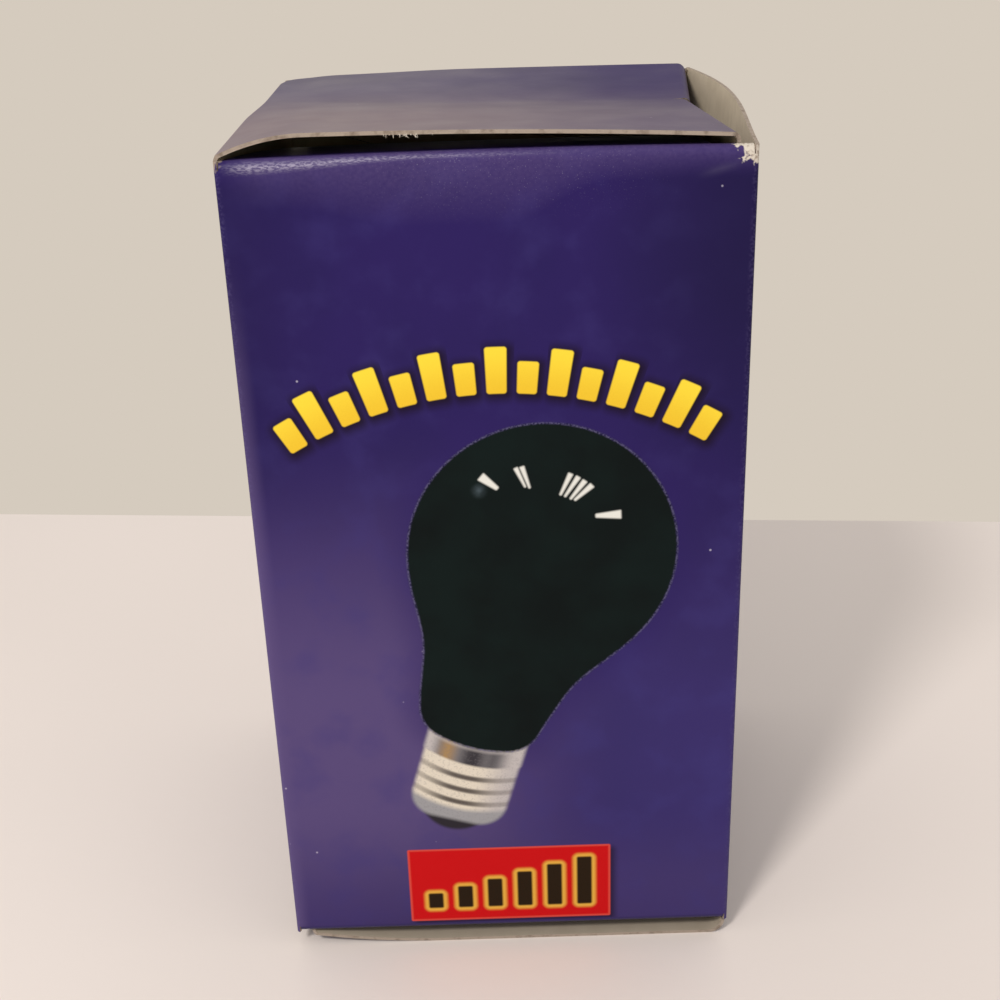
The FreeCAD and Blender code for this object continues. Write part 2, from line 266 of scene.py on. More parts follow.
def right_wall_x(y, z):
    """The bowed right wall. Its bow eases out towards the front corner."""
    if y >= BOW_PEAK_Y:
        return HALF + wall_bow(z) * (1.0 - ((y - BOW_PEAK_Y) / (FOLD - BOW_PEAK_Y)) ** 2)
    share = (BOW_PEAK_Y - y) / (BOW_PEAK_Y + FOLD)
    arch = 1.0 - share**2
    swell = (1.0 + math.cos(math.pi * share)) / 2.0
    return HALF + wall_bow(z) * (arch + swell) / 2.0


def left_dent(y, z):
    """How far the left wall's top is pushed in, behind the top lid's crease."""
    rise = min(max((z - BOW_START) / (WALL_TOP - BOW_START), 0.0), 1.0)
    return LEFT_DENT * ease(y, *LEFT_DENT_SPAN) * rise**2


def back_dent(x, z):
    """How far the back wall's left end follows the left wall's dent."""
    return left_dent(FOLD, z) * ease(x, *BACK_DENT_SPAN)


def corner_columns(centre_x, centre_y, start):
    """Plan points round a corner from an angle on, without its two ends."""
    columns = []
    for degrees in spread(start, start + 90.0, CORNER_STEPS)[1:-1]:
        angle = math.radians(degrees)
        x, y = centre_x + CORNER * math.cos(angle), centre_y + CORNER * math.sin(angle)
        columns.append(("corner", x, y))
    return columns


def flap_columns(outer):
    """Places along a front or back wall, with every place where a flap's outline turns."""
    middle = spread(-FLAP_TUCK_SIDE, FLAP_TUCK_SIDE, FLAP_COLUMNS)
    side = spread(FLAP_TUCK_SIDE, FLAP_HALF, FLAP_SIDE_COLUMNS)[1:]
    return [-outer, *[-x for x in reversed(side)], *middle, *side, FOLD]


def sleeve_columns():
    """Plan points round the walls, from the seam by way of the left, front and right walls."""
    walls = int(2 * FOLD / WALL_STEP)
    columns = [("corner", -FOLD, HALF)]
    columns += corner_columns(-FOLD, FOLD, 90.0)
    columns += [("left", -HALF, y) for y in spread(FOLD, -FOLD, walls)]
    columns += corner_columns(-FOLD, -FOLD, 180.0)
    columns += [("front", x, -HALF) for x in flap_columns(FOLD)]
    columns += corner_columns(FOLD, -FOLD, 270.0)
    columns += [("right", HALF, y) for y in spread(-FOLD, FOLD, walls)]
    columns += corner_columns(FOLD, FOLD, 0.0)
    columns += [("back", x, HALF) for x in reversed(flap_columns(FOLD - SEAM_GAP))]
    return columns


def wall_point(column, z):
    """A point on the outside of the walls, which sink in or bow out."""
    side, x, y = column
    if side == "right":
        return (right_wall_x(y, z), y, z)
    height = (z - WALL_FOOT) / (WALL_TOP - WALL_FOOT)
    calm = smooth(SINK_EASE * height) * smooth(SINK_EASE * (1.0 - height))
    if side == "front":
        sink = FRONT_SINK * calm * (1.0 + wave(x, 0, z, FRONT_WAVE)) * (1.0 - (x / FOLD) ** 2)
        return (x, y + sink, z)
    if side == "back":
        return (x + back_dent(x, z), y - BACK_SINK * calm * (1.0 - (x / FOLD) ** 2), z)
    if side == "left":
        return (x + LEFT_SINK * calm * (1.0 - (y / FOLD) ** 2) + left_dent(y, z), y, z)
    return (x + (left_dent(y, z) if x < 0 else 0.0), y, z)


def add_wall_rows(bm, columns, rows):
    """Quads between rows of wall vertices, none where one is missing."""
    for i, corners in quads(rows):
        front = max(columns[i][2], columns[i + 1][2]) < -FOLD + NEAR
        if None not in corners:
            add_face(bm, corners, FRONT if front else PRINT)


def add_walls(bm, columns):
    """The sleeve between the dust flaps' folds. Returns its lowest and highest rows."""
    steps = int((WALL_TOP - WALL_FOOT) / WALL_STEP)
    levels = spread(WALL_FOOT + FOLD_RADIUS, WALL_TOP - FOLD_RADIUS, steps)
    rows = [[add_vert(bm, wall_point(column, z)) for column in columns] for z in levels]
    add_wall_rows(bm, columns, rows)
    return rows[0], rows[-1]


def add_side_ends(bm, columns, row, way):
    """Takes the left and right walls and the corners on to the walls' full height."""
    edge = WALL_TOP if way > 0 else WALL_FOOT
    rows = [row]
    for z in spread(edge - way * FOLD_RADIUS, edge, SIDE_END_STEPS)[1:]:
        points = [None if column[0] in FLAP_SIDES else wall_point(column, z) for column in columns]
        rows.append([point and add_vert(bm, point) for point in points])
    add_wall_rows(bm, columns, rows[::way])


def flap_point(x, y_side, way, turn, run):
    """A point on a dust flap's outside: the angle round its fold, and the distance past it."""
    edge = WALL_TOP if way > 0 else WALL_FOOT
    across = -FOLD_RADIUS * math.cos(turn) + run * math.sin(turn)
    along = FOLD_RADIUS * math.sin(turn) + run * math.cos(turn)
    if way > 0 and y_side < 0:
        along += FOLD_BOW * (1.0 - (x / FOLD) ** 2) * smooth(turn)
    if way > 0 and y_side > 0:
        x += back_dent(x, edge)
    y = y_side * (HALF - FOLD_RADIUS - across)
    return (x, y, edge - way * FOLD_RADIUS + way * along)


def flap_row(bm, places, y_side, way, run):
    """Vertices across a dust flap at one distance past its fold. Its two ends taper in."""
    taper = FLAP_TAPER * run / FLAP_LENGTH
    bend = FLAP_TAPER * max(run - FLAP_TUCK_BEND, 0.0) / (FLAP_LENGTH - FLAP_TUCK_BEND)
    arch = FLAP_ARCH * math.sin(math.pi * run / FLAP_LENGTH)
    row = []
    for place in places:
        share = (way * place + FLAP_HALF) / (FLAP_HALF + FLAP_TUCK_SIDE)
        x = way * place + taper * (1.0 - share) - bend * share
        point = flap_point(way * x, y_side, way, FLAP_TURN, run)
        row.append(add_vert(bm, (point[0], point[1], point[2] + way * arch)))
    return row


def add_dust_flap(bm, columns, row, side, way):
    """A flap that goes on from a wall, round its fold and in under the lid."""
    y_side = -1 if side == "front" else 1
    indices = [i for i, column in enumerate(columns) if column[0] == side]
    places = [columns[i][1] for i in indices]
    fold = [[row[i] for i in indices]]
    for turn in spread(0.0, FLAP_TURN, FOLD_STEPS)[1:]:
        fold.append([add_vert(bm, flap_point(x, y_side, way, turn, 0.0)) for x in places])
    add_rows(bm, fold[::way], FRONT if side == "front" and way > 0 else PRINT)
    keep = [k for k, x in enumerate(places) if -FLAP_HALF - NEAR < way * x < FLAP_TUCK_SIDE + NEAR]
    free = [[fold[-1][k] for k in keep]]
    for run in spread(0.0, FLAP_LENGTH, FLAP_STEPS)[1:]:
        free.append(flap_row(bm, [places[k] for k in keep], y_side, way, run))
    add_rows(bm, free[::way], PRINT)


def add_glue_flap(bm):
    """The strip behind the seam, on the back wall's inner face."""
    y = HALF - BOARD
    low, high = WALL_FOOT + GLUE_END_GAP, WALL_TOP - GLUE_END_GAP
    root = -HALF + BOARD
    rows = []
    for share in spread(0.0, 1.0, GLUE_ROWS):
        row = []
        for step in spread(0.0, 1.0, GLUE_COLUMNS):
            taper = GLUE_TAPER * step
            z = low + taper + (high - low - 2 * taper) * share
            row.append(add_vert(bm, (root + GLUE_WIDTH * step + left_dent(y, z), y, z)))
        rows.append(row)
    add_rows(bm, rows[::-1], PRINT)


def make_walls(materials):
    bm = bmesh.new()
    columns = sleeve_columns()
    lowest, highest = add_walls(bm, columns)
    for row, way in ((highest, 1), (lowest, -1)):
        add_side_ends(bm, columns, row, way)
        for side in FLAP_SIDES:
            add_dust_flap(bm, columns, row, side, way)
    add_glue_flap(bm)
    thicken(bm)
    walls = finish_piece(bm, "carton_walls", materials)
    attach(walls, "carton")
    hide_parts("carton_body")


# The top lid, from its hinge over the crown to the tuck flap's tip.


def lid_stations():
    """(part, share) pairs along the lid's section."""
    stations = [("hinge", 0.0)]
    for part, count in LID_STEPS:
        stations += [(part, share) for share in spread(0.0, 1.0, count)[1:]]
    return stations


def section_point(station, heights, face, tip, bowed):
    """(x, z) on one section of the lid. A bowed section has arcs, and a creased one is straight."""
    part, share = station
    crown_z, fold_z = (LID_LEVEL + height for height in heights)
    fold_x = face - TUCK_RADIUS
    if part == "hinge":
        gain = 1.0 - (1.0 - share) ** 2 if bowed else share
        return (-LID_START + (CROWN_X + LID_START) * share, LID_LEVEL + (crown_z - LID_LEVEL) * gain)
    if part == "crown":
        loss = share * share if bowed else share
        return (CROWN_X + (fold_x - CROWN_X) * share, crown_z + (fold_z - crown_z) * loss)
    if part == "fold":
        angle = math.pi / 2 * share
        drop = TUCK_RADIUS * (1.0 - math.cos(angle))
        return (fold_x + TUCK_RADIUS * math.sin(angle), fold_z - drop)
    return part_way((face, fold_z - TUCK_RADIUS), (tip, LID_LEVEL - TUCK_LENGTH), share)


def lid_sections(station):
    """The lid's section at the front edge, at the crease and at the back edge."""
    tip = TUCK_FACE - TUCK_LEAN
    return (
        section_point(station, FRONT_HEIGHTS, TUCK_FACE, tip, True),
        section_point(station, CREASE_HEIGHTS, TUCK_FACE - CREASE_PULL, tip - CREASE_PULL, False),
        section_point(station, BACK_HEIGHTS, TUCK_FACE + BACK_PUSH, tip, True),
    )


def round_off(distance, radius):
    """How far a rounded corner stands back, at a distance from its end."""
    if distance >= radius:
        return 0.0
    return radius - math.sqrt(max(radius**2 - (radius - distance) ** 2, 0.0))


def lid_reach(station):
    """The lid's front and back ends at one place along its section."""
    part, share = station
    x = lid_sections(station)[2][0]
    face = TUCK_FACE + BACK_PUSH
    if part == "hinge":
        return -LID_HALF, LID_HALF - round_off(x + LID_START, HINGE_CORNER)
    if part == "crown":
        return -LID_HALF, LID_HALF - round_off(face - x, TUCK_SIDE_CORNER)
    if part == "fold":
        narrow = (LID_HALF - TUCK_HALF) * smooth(FRONT_NARROW * share)
        return -LID_HALF + narrow, LID_HALF - round_off(face - x, TUCK_SIDE_CORNER)
    corner = round_off(TUCK_LENGTH * (1.0 - share), TUCK_CORNER)
    narrow = (LID_HALF - TUCK_HALF - TUCK_SIDE_CORNER) * smooth(BACK_NARROW * share)
    return -TUCK_HALF + corner, LID_HALF - TUCK_SIDE_CORNER - narrow - corner


def crease_line(x):
    """Where the crease runs: it bends back towards the hinge."""
    bend = CREASE_BEND * ease(x, *CREASE_BEND_SPAN) - CREASE_DIP * ease(x, *CREASE_DIP_SPAN)
    return CREASE_Y + bend + CREASE_WAVER * wave(x, 0, 0, CREASE_WAVER_SIZE)


def tear_lips(station):
    """How far the tear's front and back lips stand from the crease."""
    part, share = station
    x, z = lid_sections(station)[1]
    if part == "tuck":
        opened = max(1.0 - TUCK_LENGTH * share / TEAR_RUN, 0.0)
    else:
        opened = max(1.0 - (TUCK_FACE - CREASE_PULL - x) / TEAR_DEPTH, 0.0)
    ragged = 1.0 + TEAR_RAGGED * wave(x, 0.0, z, TEAR_GRAIN)
    return TEAR_FRONT * opened, TEAR_BACK * opened * ragged


def lid_point(station, y, crease):
    """A point on the lid's outside, between its three sections."""
    front, middle, back = lid_sections(station)
    if y < crease:
        x, z = part_way(front, middle, (y + LID_HALF) / (crease + LID_HALF))
    else:
        x, z = part_way(back, middle, (LID_HALF - y) / (LID_HALF - crease))
    if station[0] in ("hinge", "crown"):
        calm = ease(x, *LID_WAVE_HINGE) * ease(abs(y), *LID_WAVE_RIM)
        z += LID_WAVE * wave(x, y, 0, LID_WAVE_SIZE) * calm
        x += left_dent(y, WALL_TOP) * ease(x, *LID_DENT_SPAN)
        z -= LID_DROOP * ease(x, *DROOP_LEFT) * ease(x, *DROOP_HINGE) * ease(y, *DROOP_BACK)
    return (x, y, z)


def make_top_lid(materials):
    bm = bmesh.new()
    front_rows, back_rows = [], []
    for station in lid_stations():
        low, high = lid_reach(station)
        crease = crease_line(lid_sections(station)[1][0])
        front_lip, back_lip = tear_lips(station)
        front = spread(low, crease - front_lip, LID_FRONT_COLUMNS)
        back = spread(crease + back_lip, high, LID_BACK_COLUMNS)
        front_rows.append([add_vert(bm, lid_point(station, y, crease)) for y in front])
        back_rows.append([add_vert(bm, lid_point(station, y, crease)) for y in back])
    for rows in (front_rows, back_rows):
        add_rows(bm, rows[::-1], PRINT)
    bmesh.ops.remove_doubles(bm, verts=bm.verts, dist=WELD)
    thicken(bm)
    lid = finish_piece(bm, "top_flap", materials)
    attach(lid, "top_lid")
    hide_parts("top_lid")


# The bottom lid.


def bottom_section():
    """(x, z) points of the bottom lid's outside, from its hinge to its tip."""
    hinge_steps, flat_steps, rise_steps, fold_steps, tuck_steps = FOOT_STEPS
    flat_start = LID_START - FOOT_RADIUS
    fold = -TUCK_FACE + TUCK_RADIUS
    radius = ((FOOT_FLAT_END - fold) ** 2 + FOOT_RISE**2) / (2.0 * FOOT_RISE)
    points = []
    for angle in spread(0.0, math.pi / 2, hinge_steps):
        x = flat_start + FOOT_RADIUS * math.cos(angle)
        points.append((x, FOOT_RADIUS * (1.0 - math.sin(angle))))
    points += [(x, 0.0) for x in spread(flat_start, FOOT_FLAT_END, flat_steps)[1:]]
    for x in spread(FOOT_FLAT_END, fold, rise_steps)[1:]:
        points.append((x, radius - math.sqrt(radius**2 - (FOOT_FLAT_END - x) ** 2)))
    for angle in spread(0.0, math.pi / 2, fold_steps)[1:]:
        z = FOOT_RISE + TUCK_RADIUS * (1.0 - math.cos(angle))
        points.append((fold - TUCK_RADIUS * math.sin(angle), z))
    start = points[-1]
    tip = (-TUCK_FACE + TUCK_LEAN, FOOT_RISE + TUCK_LENGTH)
    return points + [part_way(start, tip, share) for share in spread(0.0, 1.0, tuck_steps)[1:]]


def make_bottom_lid(materials):
    bm = bmesh.new()
    rows = []
    tip_z = FOOT_RISE + TUCK_LENGTH
    for x, z in bottom_section():
        half = LID_HALF
        if x < -TUCK_FACE + TUCK_RADIUS and z > FOOT_RISE:
            narrow = smooth((z - FOOT_RISE) / TUCK_RADIUS)
            half = LID_HALF - (LID_HALF - TUCK_HALF) * narrow - round_off(tip_z - z, TUCK_CORNER)
        rows.append([add_vert(bm, (x, y, z)) for y in spread(-half, half, FOOT_COLUMNS)])
    add_rows(bm, rows[::-1], PRINT)
    thicken(bm)
    lid = finish_piece(bm, "bottom_flap", materials)
    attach(lid, "bottom_lid")
    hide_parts("bottom_lid")


# The bent strips of card that join the lids to their walls.


def make_hinge(name, start, end, bulge, reach, materials):
    """A strip of card from a wall's edge at start to the lid's at end, both (x, z)."""
    bm = bmesh.new()
    rows = []
    for share in spread(0.0, 1.0, HINGE_ROWS):
        x, z = part_way(start, end, share)
        z += bulge * math.sin(math.pi * share)
        line = spread(*reach, HINGE_COLUMNS)
        rows.append([add_vert(bm, (x + left_dent(y, z), y, z)) for y in line])
    add_rows(bm, rows[::-1], PRINT)
    thicken(bm)
    strip = finish_piece(bm, name, materials)
    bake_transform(strip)


def make_hinges(materials):
    start, end = (-HALF, WALL_TOP - HINGE_LAP), (-LID_START, LID_LEVEL)
    reach = (-FOLD, LID_HALF - HINGE_CORNER)
    make_hinge("top_hinge_fold", start, end, HINGE_BULGE, reach, materials)
    start, end = (HALF, WALL_FOOT + HINGE_LAP), (LID_START, FOOT_RADIUS)
    make_hinge("bottom_hinge_fold", start, end, 0.0, (-FOLD, FOLD), materials)


# Torn paper.

RIBBON_FACE = (0.3, -1.0, 0.2)
RIBBON_TAPER = 0.8

# Flakes at the front wall's torn corner: where they start, how they lean and curl, and their sizes.
FLAKE_SEED = 7
FLAKE_COUNT = 36
FLAKE_X = (HALF - 1.9, HALF - 0.2)
FLAKE_Z = (WALL_TOP - 1.9, WALL_TOP - 0.4)
FLAKE_Y = (-HALF + 0.3, -HALF + 0.6)
FLAKE_LEAN = ((-1.0, 0.5), (-0.2, 0.5), (-0.7, 0.6))
FLAKE_CURL = ((-0.5, 0.3), (0.0, 0.5), (-0.3, 0.3))
FLAKE_REACH = (0.3, 0.7)
FLAKE_HALF = (0.08, 0.2)
FLAKE_LIMIT_X = HALF - 0.05
FLAKE_LIMIT_Y = -HALF + 0.12

# Fibres on the top lid's front edge: their middle and spread, and how far they hang and sway.
FIBRE_SEED = 11
FIBRE_COUNT = 24
FIBRE_X = (-9.0, 1.7)
FIBRE_ROOT = 0.12
FIBRE_REACH = (0.15, 0.5)
FIBRE_LEAN = (-1.2, 1.2)
FIBRE_SWAY = (-0.25, 0.25)
FIBRE_OUT = 0.12
FIBRE_HALF = (0.03, 0.07)


def add_ribbon(bm, points, half):
    """A thin strip of paper along points, with a pointed end."""
    rows = []
    for i, point in enumerate(points):
        following = points[min(i + 1, len(points) - 1)] - points[max(i - 1, 0)]
        side = following.cross(Vector(RIBBON_FACE)).normalized()
        side *= half * (1.0 - RIBBON_TAPER * i / (len(points) - 1))
        rows.append([add_vert(bm, point + side), add_vert(bm, point - side)])
    add_rows(bm, rows, 0)


def make_torn_corner(material):
    """Curled flakes of pulp where the front wall's right corner is torn at the top."""
    rng = random.Random(FLAKE_SEED)
    bm = bmesh.new()
    for _ in range(FLAKE_COUNT):
        x, z, y = [rng.uniform(*span) for span in (FLAKE_X, FLAKE_Z, FLAKE_Y)]
        lean = Vector([rng.uniform(*span) for span in FLAKE_LEAN]).normalized()
        curl = Vector([rng.uniform(*span) for span in FLAKE_CURL])
        reach = rng.uniform(*FLAKE_REACH)
        points = []
        for t in spread(0.0, 1.0, RIBBON_STEPS):
            point = Vector((x, y, z)) + lean * (reach * t) + curl * (reach * t * t)
            points.append(Vector((min(point.x, FLAKE_LIMIT_X), max(point.y, FLAKE_LIMIT_Y), point.z)))
        add_ribbon(bm, points, rng.uniform(*FLAKE_HALF))
    flakes = finish_piece(bm, "torn_corner", [material])
    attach(flakes, "carton")


def front_edge_z(x):
    """The underside of the top lid's front edge, right of its crown."""
    share = max((x - CROWN_X) / (TUCK_FACE - TUCK_RADIUS - CROWN_X), 0.0)
    return LID_LEVEL + FRONT_HEIGHTS[0] + (FRONT_HEIGHTS[1] - FRONT_HEIGHTS[0]) * share**2 - BOARD


def make_lid_fibres(material):
    """Loose fibres along the top lid's cut front edge."""
    rng = random.Random(FIBRE_SEED)
    bm = bmesh.new()
    for _ in range(FIBRE_COUNT):
        root = rng.gauss(*FIBRE_X)
        root_z = front_edge_z(root) + FIBRE_ROOT
        reach = rng.uniform(*FIBRE_REACH)
        lean = rng.uniform(*FIBRE_LEAN)
        sway = rng.uniform(*FIBRE_SWAY)
        points = []
        for t in spread(0.0, 1.0, RIBBON_STEPS):
            x = root + lean * reach * t + sway * t * t
            points.append(Vector((x, -LID_HALF - FIBRE_OUT * t, root_z - reach * t)))
        add_ribbon(bm, points, rng.uniform(*FIBRE_HALF))
    fibres = finish_piece(bm, "lid_fibres", [material])
    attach(fibres, "top_lid")


# Numbers and colours that vary over a surface, for the print, the wear, and the painted reflection,
# sheen, highlight and shade.

# Places of the colour sockets on a Mix node.
MIX_BELOW, MIX_ABOVE, MIX_RESULT = 6, 7, 2


def feed(tree, slot, value):
    """Gives a node's input a field, or else a number or a colour."""
    if isinstance(value, Field):
        tree.links.new(value.socket, slot)
    else:
        slot.default_value = value


def node_field(tree, kind, output, inputs, **settings):
    """A new node's output as a field. Its inputs are given by name or place."""
    node = tree.nodes.new(kind)
    for name, value in settings.items():
        setattr(node, name, value)
    for place, value in inputs.items():
        feed(tree, node.inputs[place], value)
    return Field(tree, node.outputs[output])


class Field:
    """A number or a colour over a surface. Operators on it add Math nodes to its tree."""

    def __init__(self, tree, socket):
        self.tree = tree
        self.socket = socket

    def math(self, operation, *others):
        inputs = dict(enumerate((self, *others)))
        return node_field(self.tree, "ShaderNodeMath", 0, inputs, operation=operation)

    def __add__(self, other):
        return self.math("ADD", other)

    def __sub__(self, other):
        return self.math("SUBTRACT", other)

    def __mul__(self, other):
        return self.math("MULTIPLY", other)

    def __truediv__(self, other):
        return self.math("DIVIDE", other)

    def __neg__(self):
        return self.math("MULTIPLY", -1.0)

    def least(self, other):
        return self.math("MINIMUM", other)

    def most(self, other):
        return self.math("MAXIMUM", other)

    def size(self):
        return self.math("ABSOLUTE")

    def ramp(self, start, end):
        """A smooth change from 0 at start to 1 at end."""
        inputs = {"Value": self, "From Min": start, "From Max": end}
        kind = "ShaderNodeMapRange"
        return node_field(self.tree, kind, "Result", inputs, interpolation_type="SMOOTHSTEP")

    def between(self, first, last):
        """A straight change from first, where this field is 0, to last, where it is 1."""
        return self * (last - first) + first


class Surface:
    """A material's node tree, with the piece's own millimetres as x, y and z."""

    def __init__(self, name):
        self.material = bpy.data.materials.new(name)
        self.material.use_nodes = True
        self.tree = self.material.node_tree
        self.shader = self.tree.nodes["Principled BSDF"]
        inputs = {0: self.field("ShaderNodeTexCoord", "Object", {}), "Scale": 1.0 / MM}
        self.place = self.field("ShaderNodeVectorMath", "Vector", inputs, operation="SCALE")
        axes = self.field("ShaderNodeSeparateXYZ", 0, {0: self.place}).socket.node
        self.x, self.y, self.z = (Field(self.tree, output) for output in axes.outputs)

    def field(self, kind, output, inputs, **settings):
        return node_field(self.tree, kind, output, inputs, **settings)

    def noise(self, scale, detail, stretch=(1.0, 1.0, 1.0)):
        """Noise from 0 to 1, with scale features to a millimetre."""
        place = self.field("ShaderNodeMapping", "Vector", {"Vector": self.place, "Scale": stretch})
        inputs = {"Vector": place, "Scale": scale, "Detail": detail}
        return self.field("ShaderNodeTexNoise", "Fac", inputs)

    def patches(self, scale, detail, low, high):
        """Soft patches: 0 where the noise is under low, and 1 where it is over high."""
        return self.noise(scale, detail).ramp(low, high)

    def cells(self, scale):
        """The distance to scattered points, scale to a millimetre, and a random number for each."""
        inputs = {"Vector": self.place, "Scale": scale}
        distance = self.field("ShaderNodeTexVoronoi", "Distance", inputs)
        colour = Field(self.tree, distance.socket.node.outputs["Color"])
        return distance, self.field("ShaderNodeSeparateColor", 0, {0: colour})

    def mix(self, share, below, above):
        """The colour below, covered by the colour above where share is 1."""
        inputs = {"Factor": share, MIX_BELOW: below, MIX_ABOVE: above}
        return self.field("ShaderNodeMix", MIX_RESULT, inputs, data_type="RGBA")

    def set(self, name, value):
        feed(self.tree, self.shader.inputs[name], value)

    def finish(self, colour, rough, scale, detail, depth):
        """Sets the colour, the roughness and a relief of noise, and returns the material."""
        inputs = {"Height": self.noise(scale, detail), "Distance": depth * MM, "Strength": 1.0}
        self.set("Normal", self.field("ShaderNodeBump", "Normal", inputs))
        self.set("Base Color", colour)
        self.set("Roughness", rough)
        return self.material


# Signed distances to simple shapes, in millimetres: below zero inside.


def length(u, v):
    return (u * u + v * v).math("SQRT")


def bar(u, v, half_u, half_v, rounding):
    """A rounded bar. Its half sizes are numbers or fields."""
    over_u = u.size() - half_u + rounding
    over_v = v.size() - half_v + rounding
    outside = length(over_u.most(0.0), over_v.most(0.0))
    return outside + over_u.most(over_v).least(0.0) - rounding


def merge(first, second, soft):
    """Two shapes joined with a soft fillet."""
    near = (-(first - second).size() + soft).most(0.0)
    return first.least(second) - near * near / (4.0 * soft)


def cut(first, second, soft):
    """What lies in both shapes, with soft corners."""
    near = (-(first - second).size() + soft).most(0.0)
    return first.most(second) + near * near / (4.0 * soft)


def covered(shape, soft):
    """1 inside a shape and 0 outside it, with an edge soft over some millimetres."""
    if isinstance(soft, Field):
        return (shape / soft).ramp(1.0, -1.0)
    return shape.ramp(soft, -soft)


def around(shape, grow, soft, share):
    """A shape grown by some millimetres, with a soft edge, as a share of full cover."""
    return covered(shape - grow, soft) * share


def turned(u, v, degrees):
    """Coordinates along axes that are turned clockwise by an angle."""
    cos, sin = math.cos(math.radians(degrees)), math.sin(math.radians(degrees))
    return u * cos - v * sin, u * sin + v * cos


# Colours of the print and the card, and of the painted reflection, sheen, highlight and shade.
VIOLET = srgb(43, 30, 88)
VIOLET_DEEP = srgb(40, 29, 83)
# Painted shade, for the front wall's upper corners.
VIOLET_PAINTED_SHADE = srgb(30, 23, 62)
# Painted reflection, sheen and highlight on the front wall, also used for its real rubbing under the
# top fold.
VIOLET_PAINTED_SHEEN_AND_RUB = srgb(89, 74, 118)
VIOLET_BLUE = srgb(60, 52, 112)
VIOLET_WORN = srgb(96, 87, 130)
# Dust and painted reflection, greying the top lid's front half.
LID_DUST_AND_REFLECTION = srgb(116, 92, 98)
YELLOW = srgb(240, 210, 60)
YELLOW_DEEP = srgb(230, 188, 48)
HALO = srgb(26, 15, 26)
GLASS = srgb(14, 25, 24)
GLASS_DEEP = srgb(11, 18, 18)
GLASS_RIM = srgb(112, 106, 142)
GLINT = srgb(222, 220, 212)
GLINT_FAINT = srgb(92, 106, 114)
METAL = srgb(216, 205, 188)
METAL_PALE = srgb(184, 176, 174)
METAL_SHADE = srgb(76, 68, 64)
METAL_GREY = srgb(116, 112, 114)
METAL_WARM = srgb(170, 132, 76)
METAL_COOL = srgb(150, 148, 150)
METAL_DARK = srgb(44, 40, 46)
RED = srgb(192, 15, 19)
RED_EDGE = srgb(212, 84, 70)
GOLD = srgb(218, 164, 66)
MARK = srgb(38, 26, 14)
# Pale scuffs and specks, also used for the painted highlights on the top fold and along the dent.
SCUFF_AND_HIGHLIGHT = srgb(196, 188, 206)
FIBRE = srgb(206, 196, 182)
CARD = srgb(214, 197, 170)
CARD_DARK = srgb(203, 186, 159)
CARD_LOW_DARK = srgb(126, 115, 106)
RAW = srgb(156, 141, 127)
RAW_DARK = srgb(122, 107, 94)

# Gloss of the varnish and the bare card.
FRONT_SHINE = 0.06
PLAIN_SHINE = 0.2
FULL_SHINE = 0.5
LID_SHINE = (0.02, 0.38)
VARNISH_IOR = 1.5
VARNISH_ROUGH = (0.26, 0.4)
CARD_ROUGH = 0.85
EDGE_ROUGH = 0.9

# Noise: features to a millimetre, and detail.
VARNISH_GRAIN = (0.14, 3.0)
GLASS_GRAIN = (2.6, 3.0)
GLINT_GRAIN = (1.2, 2.0)
SHEEN_RUB_GRAIN = (2.4, 4.0)
SCRATCH_GRAIN = (6.5, 4.0)
TORN_GRAIN = (1.3, 4.0)
DUST_REFLECTION_GRAIN = (0.3, 3.0)
SPECK_GRAIN = 0.3

# Patches of noise: features to a millimetre, detail, and the levels between which they come in.
INK_CLOUD = (0.06, 3.0, 0.3, 0.7)
INK_MOTTLE = (0.16, 5.0, 0.45, 0.72)
FOLD_BREAKS = (3.2, 4.0, 0.42, 0.68)
FOLD_DOTS = (6.5, 2.0, 0.64, 0.76)
GLASS_CLOUD = (0.11, 3.0, 0.3, 0.7)
RIM_BREAKS = (4.0, 2.0, 0.34, 0.62)
METAL_MOTTLE = (4.0, 3.0, 0.48, 0.75)
PULP_MOTTLE = (2.6, 4.0, 0.45, 0.68)
CARD_CLOUD = (0.35, 3.0, 0.3, 0.75)
CARD_FIBRES = (3.0, 3.0, 0.62, 0.76)
EDGE_MOTTLE = (1.1, 5.0, 0.45, 0.75)
FIBRE_MOTTLE = (2.5, 4.0, 0.4, 0.7)
FLOOR_CLOUD = (0.006, 2.0, 0.3, 0.7)

# Relief: features to a millimetre, detail and depth.
PRINT_RELIEF = (1.6, 3.0, 0.012)
CARD_RELIEF = (2.0, 3.0, 0.005)
EDGE_RELIEF = (5.0, 3.0, 0.06)
FIBRE_RELIEF = (6.0, 3.0, 0.08)
FLOOR_RELIEF = (0.3, 3.0, 0.04)

# The printed bulb: the globe's middle and radius, and the angle of its base to the left.
BULB_X = 5.4
BULB_Z = 61.8
BULB_RADIUS = 17.15
BULB_STRETCH = 0.97
BULB_TILT = 16.5
NECK_START = 6.0
NECK_END = 30.7
NECK_HALF = 7.35
NECK_SPREAD = 0.22
NECK_SHIFT = 0.058
NECK_SHIFT_END = 1.4
NECK_ROUND = 2.5
NECK_FILLET = 4.2
BELLY_END = 10.0
BELLY_CURVE = 0.02

# The edge of its glass. A soft field is millimetres past a shape, softness and strength.
GLASS_HALO = (1.6, 3.2, 0.5)
GLASS_ROUGH = (-0.06, 0.26)
GLASS_SOFT = 0.3
RIM_INSET = 0.12
RIM_FIELD = (0.06, 0.2, 0.75)

